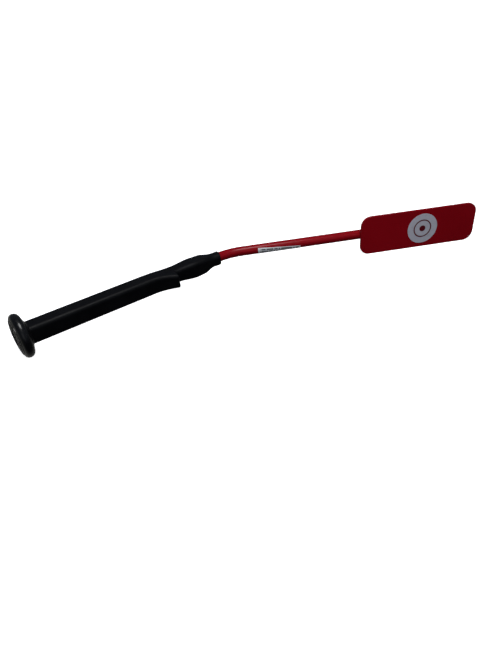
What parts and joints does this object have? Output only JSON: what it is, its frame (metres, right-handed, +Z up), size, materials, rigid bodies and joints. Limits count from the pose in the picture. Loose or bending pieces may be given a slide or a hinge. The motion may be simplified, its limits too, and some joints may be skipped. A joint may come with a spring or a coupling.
{
  "type": "baseball swing trainer",
  "caption": "Hand-held swing trainer: flat rounded paddle welded to a bent painted steel rod, with a moulded two-hand rubber grip and a round end knob.",
  "frame": {"origin": "on the grip axis, at the mouth of the socket in the knob's end", "axes": "+X along the grip axis from the knob towards the paddle; +Z up, across the paddle's height, when the trainer lies on its knob rim and the paddle's long lower edge; the rod bends towards -Y in the XY plane"},
  "size_m": [0.5538, 0.1848, 0.051],
  "materials": {
    "red_paint": "gloss deep red paint on steel",
    "printed_vinyl": "white printed vinyl film",
    "grip_rubber": "matt black moulded rubber",
    "core_plastic": "dark grey glass-filled plastic",
    "knob_plastic": "gloss black moulded plastic",
    "steel_hardware": "zinc-plated steel"
  },
  "bodies": {
    "root": {"shaft": "red_paint", "paddle": "red_paint", "paddle_welds": "red_paint", "paddle_mark": "printed_vinyl", "shaft_label": "printed_vinyl", "grip_skin": "grip_rubber", "grip_core": "core_plastic", "core_pins": "steel_hardware", "knob": "knob_plastic", "knob_washer": "steel_hardware", "knob_screw": "steel_hardware"}
  },
  "joints": []
}
